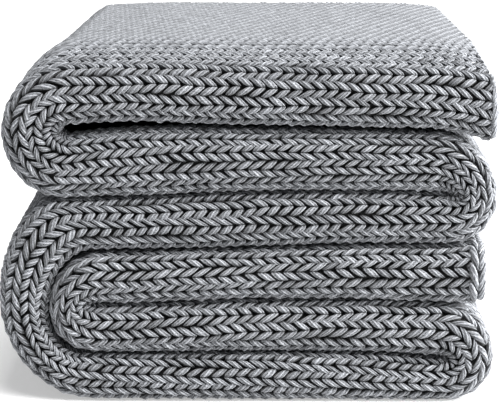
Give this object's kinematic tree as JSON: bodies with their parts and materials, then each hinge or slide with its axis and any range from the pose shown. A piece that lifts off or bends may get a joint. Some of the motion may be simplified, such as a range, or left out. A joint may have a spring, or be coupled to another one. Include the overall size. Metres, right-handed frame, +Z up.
{
  "type": "folded chunky knit blanket",
  "caption": "Chunky knit throw in heather grey, folded in four along its length and then back and forth into a soft stack that lies flat.",
  "frame": {"origin": "middle of the base, on the surface that the folded stack lies on", "axes": "+Z up; the front, where the rounded folds show, faces -Y; +X is the viewer's right"},
  "size_m": [0.266, 0.3204, 0.1922],
  "materials": {
    "knit_yarn": "matt heather grey plied yarn in stocking stitch"
  },
  "bodies": {
    "root": {"blanket": "knit_yarn"}
  },
  "joints": []
}
